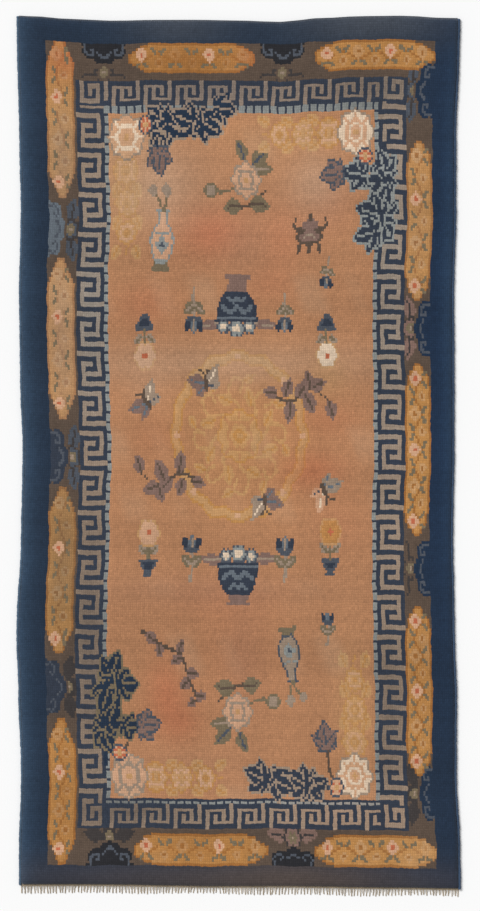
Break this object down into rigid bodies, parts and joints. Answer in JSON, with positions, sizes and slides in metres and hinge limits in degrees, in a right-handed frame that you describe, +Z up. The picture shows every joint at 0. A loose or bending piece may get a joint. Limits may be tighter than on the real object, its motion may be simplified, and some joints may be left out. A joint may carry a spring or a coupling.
{
  "type": "ningxia carpet",
  "caption": "Small rectangular knotted wool carpet lying flat, with nested borders, an uneven hand-woven outline and a short worn warp fringe at its lower end.",
  "frame": {"origin": "on the floor, at the middle of the box that holds the carpet and its fringe", "axes": "+Y along the carpet's length away from the fringe, +X across its width to the right seen from above, +Z up out of the pile"},
  "size_m": [0.6674, 1.3202, 0.009],
  "materials": {
    "wool_pile": "matt hand-knotted wool pile, apricot field with indigo and golden borders, soft sheen, worn low in places",
    "cotton_warp": "matt undyed plied cotton warp ends, greyed and worn short"
  },
  "bodies": {
    "root": {"carpet": "wool_pile", "fringe": "cotton_warp"}
  },
  "joints": []
}
